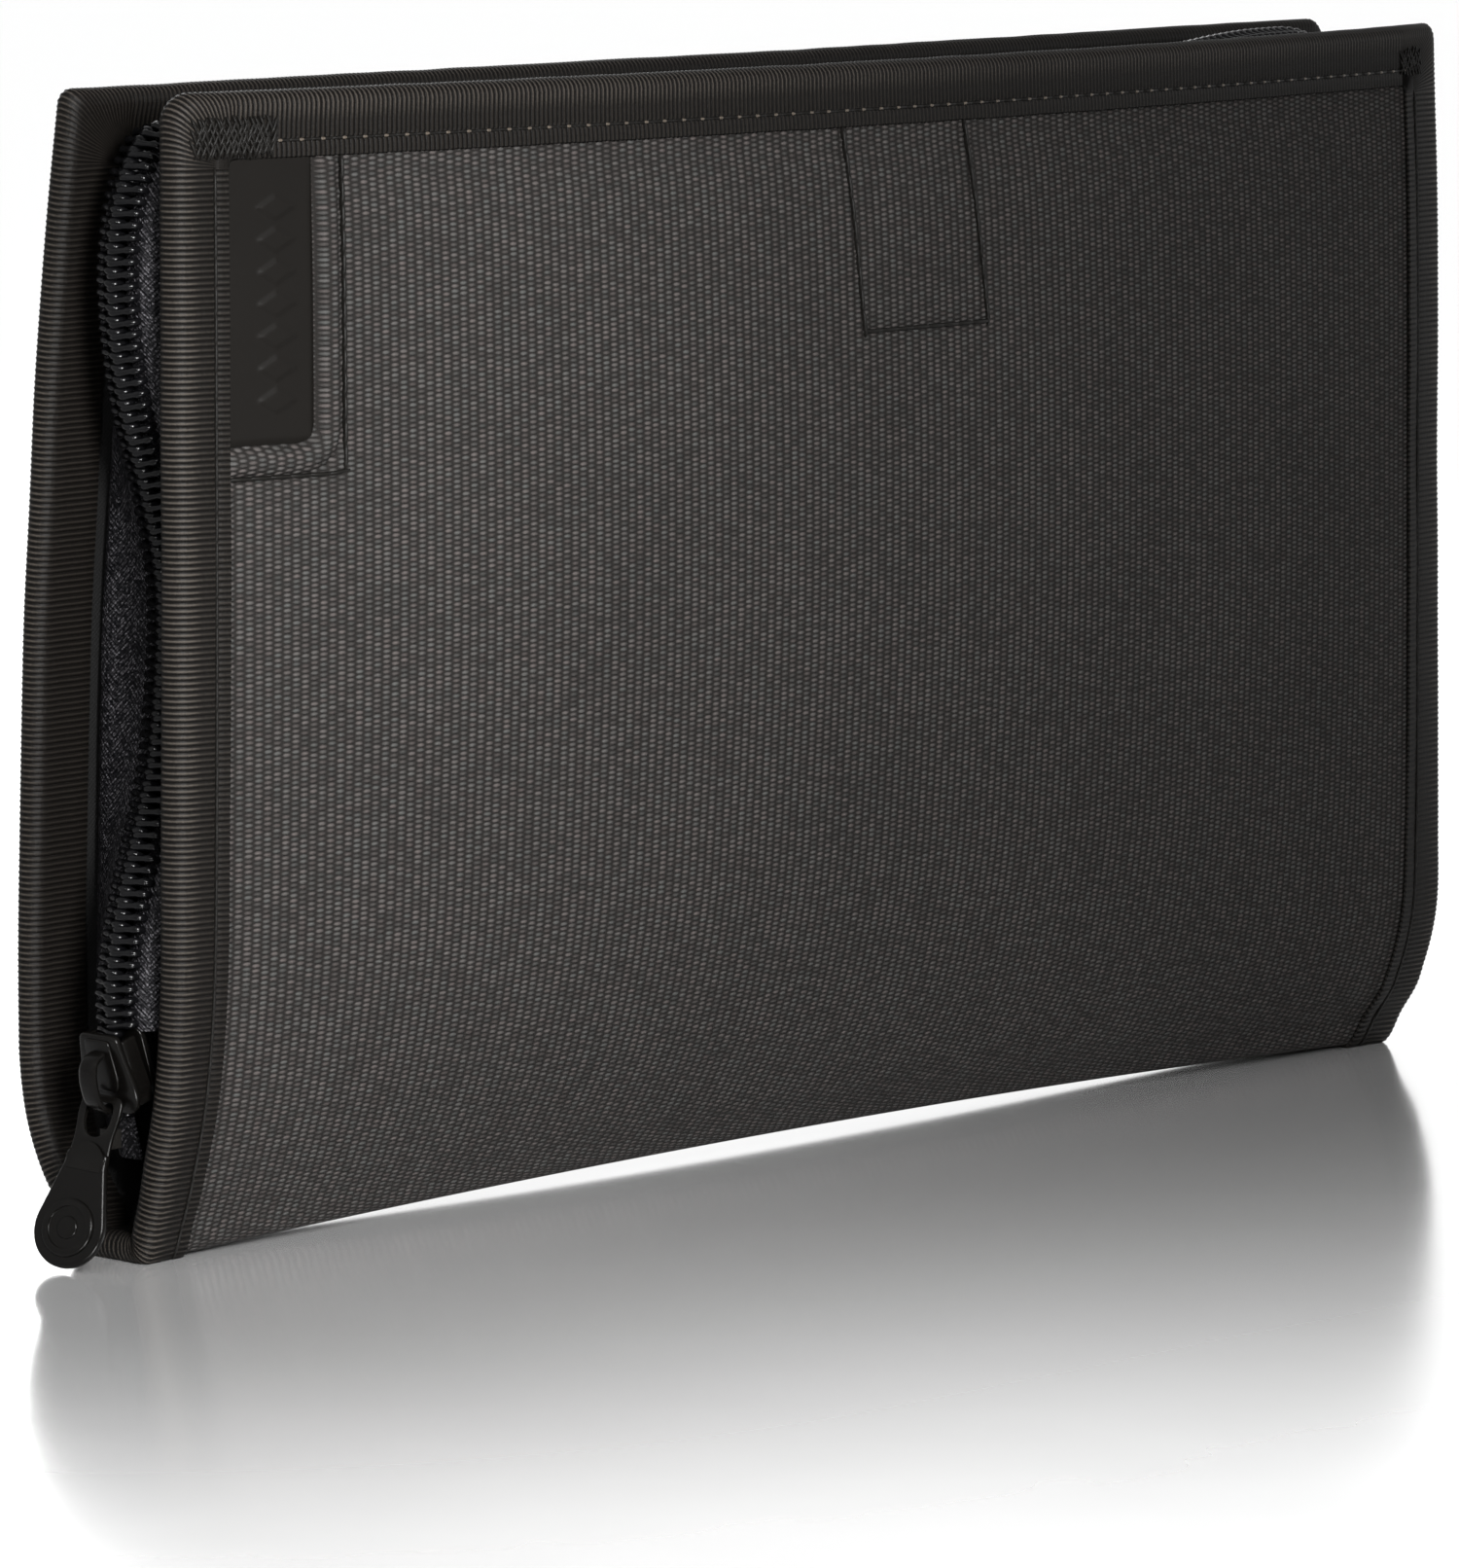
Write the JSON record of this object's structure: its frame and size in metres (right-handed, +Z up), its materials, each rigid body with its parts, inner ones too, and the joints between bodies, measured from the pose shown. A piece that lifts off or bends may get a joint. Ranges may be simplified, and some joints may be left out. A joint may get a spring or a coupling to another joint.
{
  "type": "travel document organizer",
  "caption": "Slim zip-around travel document organizer: two canvas covers with woven binding on a soft folding spine, inside pockets, pen loop, key ring and zipped coin pocket.",
  "frame": {"origin": "on the surface it stands on, under the middle of the bounding box", "axes": "+X along the spine from the slider's end, +Y from the front cover to the rear cover, +Z up, standing on the spine"},
  "size_m": [0.2586, 0.0388, 0.1471],
  "materials": {
    "canvas": "coarse charcoal canvas weave, matte",
    "grosgrain": "black ribbed grosgrain tape",
    "lining": "dark grey plain woven lining",
    "board": "flat stiffener board",
    "zip_tape": "herringbone zipper tape",
    "coil": "glossy black nylon coil",
    "black_metal": "glossy black lacquer",
    "rubber": "smooth matte rubber",
    "nickel": "polished nickel wire",
    "pocket": "dark fine mesh-backed nylon"
  },
  "bodies": {
    "spine": {"spine_shell": "canvas", "spine_lining": "lining", "spine_binding_left": "grosgrain", "spine_binding_right": "grosgrain", "pen_loop": "grosgrain"},
    "front_cover": {"front_shell": "canvas", "front_stiffener": "board", "front_lining": "lining", "front_binding_left": "grosgrain", "front_binding_right": "grosgrain", "front_binding_top": "grosgrain", "front_zip_tape": "zip_tape", "front_zip_coil": "coil", "front_patch": "rubber", "patch_frame": "canvas", "document_pocket": "pocket", "card_slot_1": "lining", "card_slot_2": "lining", "card_slot_3": "lining", "key_tab": "grosgrain"},
    "key_holder": {"key_ring": "nickel"},
    "rear_cover": {"rear_shell": "canvas", "rear_stiffener": "board", "rear_lining": "lining", "rear_binding_left": "grosgrain", "rear_binding_right": "grosgrain", "rear_binding_top": "grosgrain", "rear_zip_tape": "zip_tape", "rear_zip_coil": "coil", "zip_end_stop": "black_metal", "coin_zip_tape": "zip_tape", "coin_pocket_lower": "lining", "coin_pocket_upper": "lining", "passport_pocket": "pocket", "coin_zip_coil": "coil"},
    "zip_slider": {"slider_body": "black_metal", "slider_crown": "black_metal"},
    "zip_pull": {"pull_tab": "black_metal"},
    "coin_zip_slider": {"coin_slider": "black_metal", "coin_slider_crown": "black_metal"},
    "coin_zip_pull": {"coin_pull": "black_metal"}
  },
  "joints": [
    {"name": "front_fold", "type": "hinge", "parent": "spine", "child": "front_cover", "pos_m": [0.00434, -0.00328, 0.0035], "axis": [1, 0, 0], "range_deg": [0, 66]},
    {"name": "rear_fold", "type": "hinge", "parent": "spine", "child": "rear_cover", "pos_m": [0.00434, 0.01572, 0.0034], "axis": [-1, 0, 0], "range_deg": [0, 88]},
    {"name": "slider_travel", "type": "slide", "parent": "rear_cover", "child": "zip_slider", "axis": [0, 0, 1], "range_m": [0, 0.098]},
    {"name": "pull_swing", "type": "hinge", "parent": "zip_slider", "child": "zip_pull", "pos_m": [-0.12136, 0.00382, 0.0212], "axis": [0, 1, 0], "range_deg": [0, 120]},
    {"name": "key_ring_swing", "type": "hinge", "parent": "front_cover", "child": "key_holder", "pos_m": [0.00834, -0.01472, 0.11758], "axis": [1, 0, 0], "range_deg": [0, 90]},
    {"name": "coin_slider_travel", "type": "slide", "parent": "rear_cover", "child": "coin_zip_slider", "axis": [1, 0, 0], "range_m": [0, 0.14]},
    {"name": "coin_pull_swing", "type": "hinge", "parent": "coin_zip_slider", "child": "coin_zip_pull", "pos_m": [-0.06922, 0.00995, 0.10351], "axis": [0, 0, 1], "range_deg": [0, 150]}
  ]
}
